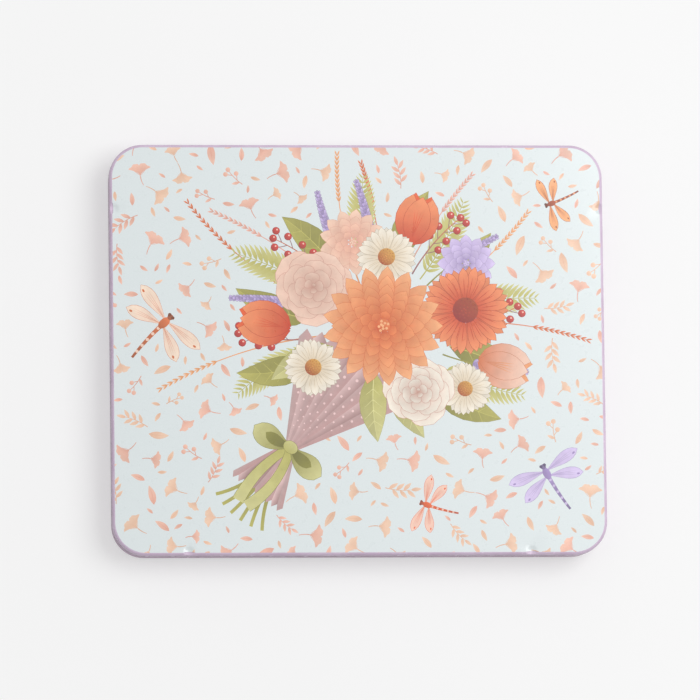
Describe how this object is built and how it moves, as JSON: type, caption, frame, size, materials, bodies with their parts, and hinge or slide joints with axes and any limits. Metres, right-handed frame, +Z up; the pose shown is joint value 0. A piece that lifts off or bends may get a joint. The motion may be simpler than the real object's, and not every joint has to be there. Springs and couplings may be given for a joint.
{
  "type": "pastel pencil tin",
  "caption": "Flat rectangular hinged tin with rounded corners, a printed floral lid, stop dents, a fluted tray of pastel pencils and a foam pad inside the lid.",
  "frame": {"origin": "middle of the base's flat underside, on the surface that the tin lies on", "axes": "+X to the right along the long side, +Y to the hinges at the back, +Z up through the lid"},
  "size_m": [0.222, 0.1858, 0.016],
  "materials": {
    "enamel": "gloss",
    "pin_steel": "satin",
    "tray_plastic": "satin",
    "foam": "matte",
    "lid_print": "gloss",
    "lacquer_white": "gloss",
    "pastel_white": "matte",
    "lacquer_cream": "gloss",
    "pastel_cream": "matte",
    "lacquer_lemon": "gloss",
    "pastel_lemon": "matte",
    "lacquer_straw": "gloss",
    "pastel_straw": "matte",
    "lacquer_apricot": "gloss",
    "pastel_apricot": "matte",
    "lacquer_orange": "gloss",
    "pastel_orange": "matte",
    "lacquer_coral": "gloss",
    "pastel_coral": "matte",
    "lacquer_scarlet": "gloss",
    "pastel_scarlet": "matte",
    "lacquer_rose": "gloss",
    "pastel_rose": "matte",
    "lacquer_pink": "gloss",
    "pastel_pink": "matte",
    "lacquer_mauve": "gloss",
    "pastel_mauve": "matte",
    "lacquer_lilac": "gloss",
    "pastel_lilac": "matte",
    "lacquer_violet": "gloss",
    "pastel_violet": "matte",
    "lacquer_blue": "gloss",
    "pastel_blue": "matte",
    "lacquer_sky": "gloss",
    "pastel_sky": "matte",
    "lacquer_turquoise": "gloss",
    "pastel_turquoise": "matte",
    "lacquer_mint": "gloss",
    "pastel_mint": "matte",
    "lacquer_leaf": "gloss",
    "pastel_leaf": "matte",
    "lacquer_olive": "gloss",
    "pastel_olive": "matte",
    "lacquer_sand": "gloss",
    "pastel_sand": "matte",
    "lacquer_ochre": "gloss",
    "pastel_ochre": "matte",
    "lacquer_rust": "gloss",
    "pastel_rust": "matte",
    "lacquer_umber": "gloss",
    "pastel_umber": "matte",
    "lacquer_slate": "gloss",
    "pastel_slate": "matte"
  },
  "bodies": {
    "base": {"base_tin": "enamel", "pencil_tray": "tray_plastic", "hinge_pin_left": "pin_steel", "hinge_pin_right": "pin_steel"},
    "lid": {"lid_tin": "enamel", "lid_foam_pad": "foam"},
    "pencil_01": {"pencil_01_barrel": "lacquer_white", "pencil_01_core": "pastel_white"},
    "pencil_02": {"pencil_02_barrel": "lacquer_cream", "pencil_02_core": "pastel_cream"},
    "pencil_03": {"pencil_03_barrel": "lacquer_lemon", "pencil_03_core": "pastel_lemon"},
    "pencil_04": {"pencil_04_barrel": "lacquer_straw", "pencil_04_core": "pastel_straw"},
    "pencil_05": {"pencil_05_barrel": "lacquer_apricot", "pencil_05_core": "pastel_apricot"},
    "pencil_06": {"pencil_06_barrel": "lacquer_orange", "pencil_06_core": "pastel_orange"},
    "pencil_07": {"pencil_07_barrel": "lacquer_coral", "pencil_07_core": "pastel_coral"},
    "pencil_08": {"pencil_08_barrel": "lacquer_scarlet", "pencil_08_core": "pastel_scarlet"},
    "pencil_09": {"pencil_09_barrel": "lacquer_rose", "pencil_09_core": "pastel_rose"},
    "pencil_10": {"pencil_10_barrel": "lacquer_pink", "pencil_10_core": "pastel_pink"},
    "pencil_11": {"pencil_11_barrel": "lacquer_mauve", "pencil_11_core": "pastel_mauve"},
    "pencil_12": {"pencil_12_barrel": "lacquer_lilac", "pencil_12_core": "pastel_lilac"},
    "pencil_13": {"pencil_13_barrel": "lacquer_violet", "pencil_13_core": "pastel_violet"},
    "pencil_14": {"pencil_14_barrel": "lacquer_blue", "pencil_14_core": "pastel_blue"},
    "pencil_15": {"pencil_15_barrel": "lacquer_sky", "pencil_15_core": "pastel_sky"},
    "pencil_16": {"pencil_16_barrel": "lacquer_turquoise", "pencil_16_core": "pastel_turquoise"},
    "pencil_17": {"pencil_17_barrel": "lacquer_mint", "pencil_17_core": "pastel_mint"},
    "pencil_18": {"pencil_18_barrel": "lacquer_leaf", "pencil_18_core": "pastel_leaf"},
    "pencil_19": {"pencil_19_barrel": "lacquer_olive", "pencil_19_core": "pastel_olive"},
    "pencil_20": {"pencil_20_barrel": "lacquer_sand", "pencil_20_core": "pastel_sand"},
    "pencil_21": {"pencil_21_barrel": "lacquer_ochre", "pencil_21_core": "pastel_ochre"},
    "pencil_22": {"pencil_22_barrel": "lacquer_rust", "pencil_22_core": "pastel_rust"},
    "pencil_23": {"pencil_23_barrel": "lacquer_umber", "pencil_23_core": "pastel_umber"},
    "pencil_24": {"pencil_24_barrel": "lacquer_slate", "pencil_24_core": "pastel_slate"}
  },
  "joints": [
    {"name": "lid_hinge", "type": "hinge", "parent": "base", "child": "lid", "pos_m": [0, 0.09246, 0.00909], "axis": [-1, 0, 0], "range_deg": [0, 180]},
    {"name": "pencil_01_roll", "type": "hinge", "parent": "base", "child": "pencil_01", "pos_m": [-0.09775, 0, 0.0062], "axis": [0, 1, 0], "continuous": true},
    {"name": "pencil_02_roll", "type": "hinge", "parent": "base", "child": "pencil_02", "pos_m": [-0.08925, 0, 0.0062], "axis": [0, 1, 0], "continuous": true},
    {"name": "pencil_03_roll", "type": "hinge", "parent": "base", "child": "pencil_03", "pos_m": [-0.08075, 0, 0.0062], "axis": [0, 1, 0], "continuous": true},
    {"name": "pencil_04_roll", "type": "hinge", "parent": "base", "child": "pencil_04", "pos_m": [-0.07225, 0, 0.0062], "axis": [0, 1, 0], "continuous": true},
    {"name": "pencil_05_roll", "type": "hinge", "parent": "base", "child": "pencil_05", "pos_m": [-0.06375, 0, 0.0062], "axis": [0, 1, 0], "continuous": true},
    {"name": "pencil_06_roll", "type": "hinge", "parent": "base", "child": "pencil_06", "pos_m": [-0.05525, 0, 0.0062], "axis": [0, 1, 0], "continuous": true},
    {"name": "pencil_07_roll", "type": "hinge", "parent": "base", "child": "pencil_07", "pos_m": [-0.04675, 0, 0.0062], "axis": [0, 1, 0], "continuous": true},
    {"name": "pencil_08_roll", "type": "hinge", "parent": "base", "child": "pencil_08", "pos_m": [-0.03825, 0, 0.0062], "axis": [0, 1, 0], "continuous": true},
    {"name": "pencil_09_roll", "type": "hinge", "parent": "base", "child": "pencil_09", "pos_m": [-0.02975, 0, 0.0062], "axis": [0, 1, 0], "continuous": true},
    {"name": "pencil_10_roll", "type": "hinge", "parent": "base", "child": "pencil_10", "pos_m": [-0.02125, 0, 0.0062], "axis": [0, 1, 0], "continuous": true},
    {"name": "pencil_11_roll", "type": "hinge", "parent": "base", "child": "pencil_11", "pos_m": [-0.01275, 0, 0.0062], "axis": [0, 1, 0], "continuous": true},
    {"name": "pencil_12_roll", "type": "hinge", "parent": "base", "child": "pencil_12", "pos_m": [-0.00425, 0, 0.0062], "axis": [0, 1, 0], "continuous": true},
    {"name": "pencil_13_roll", "type": "hinge", "parent": "base", "child": "pencil_13", "pos_m": [0.00425, 0, 0.0062], "axis": [0, 1, 0], "continuous": true},
    {"name": "pencil_14_roll", "type": "hinge", "parent": "base", "child": "pencil_14", "pos_m": [0.01275, 0, 0.0062], "axis": [0, 1, 0], "continuous": true},
    {"name": "pencil_15_roll", "type": "hinge", "parent": "base", "child": "pencil_15", "pos_m": [0.02125, 0, 0.0062], "axis": [0, 1, 0], "continuous": true},
    {"name": "pencil_16_roll", "type": "hinge", "parent": "base", "child": "pencil_16", "pos_m": [0.02975, 0, 0.0062], "axis": [0, 1, 0], "continuous": true},
    {"name": "pencil_17_roll", "type": "hinge", "parent": "base", "child": "pencil_17", "pos_m": [0.03825, 0, 0.0062], "axis": [0, 1, 0], "continuous": true},
    {"name": "pencil_18_roll", "type": "hinge", "parent": "base", "child": "pencil_18", "pos_m": [0.04675, 0, 0.0062], "axis": [0, 1, 0], "continuous": true},
    {"name": "pencil_19_roll", "type": "hinge", "parent": "base", "child": "pencil_19", "pos_m": [0.05525, 0, 0.0062], "axis": [0, 1, 0], "continuous": true},
    {"name": "pencil_20_roll", "type": "hinge", "parent": "base", "child": "pencil_20", "pos_m": [0.06375, 0, 0.0062], "axis": [0, 1, 0], "continuous": true},
    {"name": "pencil_21_roll", "type": "hinge", "parent": "base", "child": "pencil_21", "pos_m": [0.07225, 0, 0.0062], "axis": [0, 1, 0], "continuous": true},
    {"name": "pencil_22_roll", "type": "hinge", "parent": "base", "child": "pencil_22", "pos_m": [0.08075, 0, 0.0062], "axis": [0, 1, 0], "continuous": true},
    {"name": "pencil_23_roll", "type": "hinge", "parent": "base", "child": "pencil_23", "pos_m": [0.08925, 0, 0.0062], "axis": [0, 1, 0], "continuous": true},
    {"name": "pencil_24_roll", "type": "hinge", "parent": "base", "child": "pencil_24", "pos_m": [0.09775, 0, 0.0062], "axis": [0, 1, 0], "continuous": true}
  ]
}
